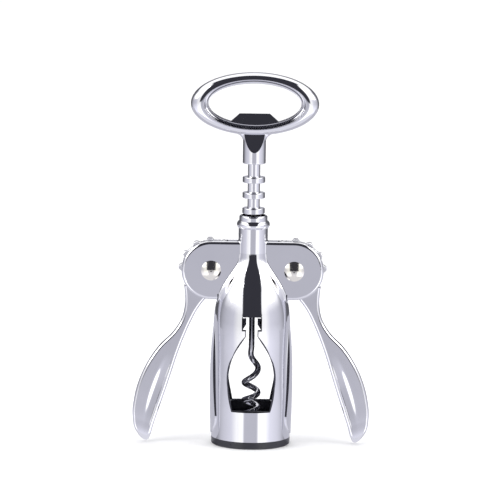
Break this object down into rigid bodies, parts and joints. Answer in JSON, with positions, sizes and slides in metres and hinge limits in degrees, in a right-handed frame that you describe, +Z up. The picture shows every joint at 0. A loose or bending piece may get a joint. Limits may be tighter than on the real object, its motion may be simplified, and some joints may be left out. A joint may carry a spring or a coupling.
{
  "type": "lever corkscrew",
  "caption": "Wing corkscrew: a geared rack and worm in a bottle-shaped bell, two wing levers, and an oval ring handle with a cap opener.",
  "frame": {"origin": "centre of the foot ring's underside, on the table", "axes": "+Z up along the worm, +X towards the right lever, -Y is the front"},
  "size_m": [0.1138, 0.0378, 0.1797],
  "materials": {
    "body_chrome": "polished chrome on die-cast zinc",
    "lever_chrome": "polished chrome on die-cast zinc",
    "handle_chrome": "polished chrome on die-cast zinc",
    "rack_chrome": "turned and chromed steel",
    "plate_steel": "satin stamped steel",
    "worm_steel": "bright drawn steel wire",
    "pin_nickel": "nickel-plated steel",
    "black_plastic": "black moulded plastic, slight sheen",
    "washer_plastic": "natural nylon"
  },
  "bodies": {
    "housing": {"body_shell": "body_chrome", "neck_bush": "rack_chrome", "bottle_guide": "black_plastic", "left_pivot_pin": "pin_nickel", "left_pivot_cap": "pin_nickel", "right_pivot_pin": "pin_nickel", "right_pivot_cap": "pin_nickel"},
    "rack": {"rack_sleeve": "rack_chrome"},
    "spindle": {"handle_ring": "handle_chrome", "opener_plate": "plate_steel", "worm": "worm_steel", "handle_pin": "pin_nickel", "thrust_washer": "washer_plastic", "retainer_ring": "pin_nickel"},
    "left_wing": {"left_lever": "lever_chrome"},
    "right_wing": {"right_lever": "lever_chrome"}
  },
  "joints": [
    {"name": "rack_slide", "type": "slide", "parent": "housing", "child": "rack", "axis": [0, 0, 1], "range_m": [-0.0346, 0.0049]},
    {"name": "worm_turn", "type": "hinge", "parent": "rack", "child": "spindle", "pos_m": [0, 0, 0.1364], "axis": [0, 0, 1], "continuous": true},
    {"name": "left_pivot", "type": "hinge", "parent": "housing", "child": "left_wing", "pos_m": [-0.0199, 0, 0.0843], "axis": [0, 1, 0], "range_deg": [-18.2, 128]},
    {"name": "right_pivot", "type": "hinge", "parent": "housing", "child": "right_wing", "pos_m": [0.0199, 0, 0.0843], "axis": [0, 1, 0], "range_deg": [-128, 18.2]}
  ],
  "couplings": [
    {"joint": "left_pivot", "follows": "rack_slide", "rad_per_m": -64.443},
    {"joint": "right_pivot", "follows": "rack_slide", "rad_per_m": 64.443}
  ]
}
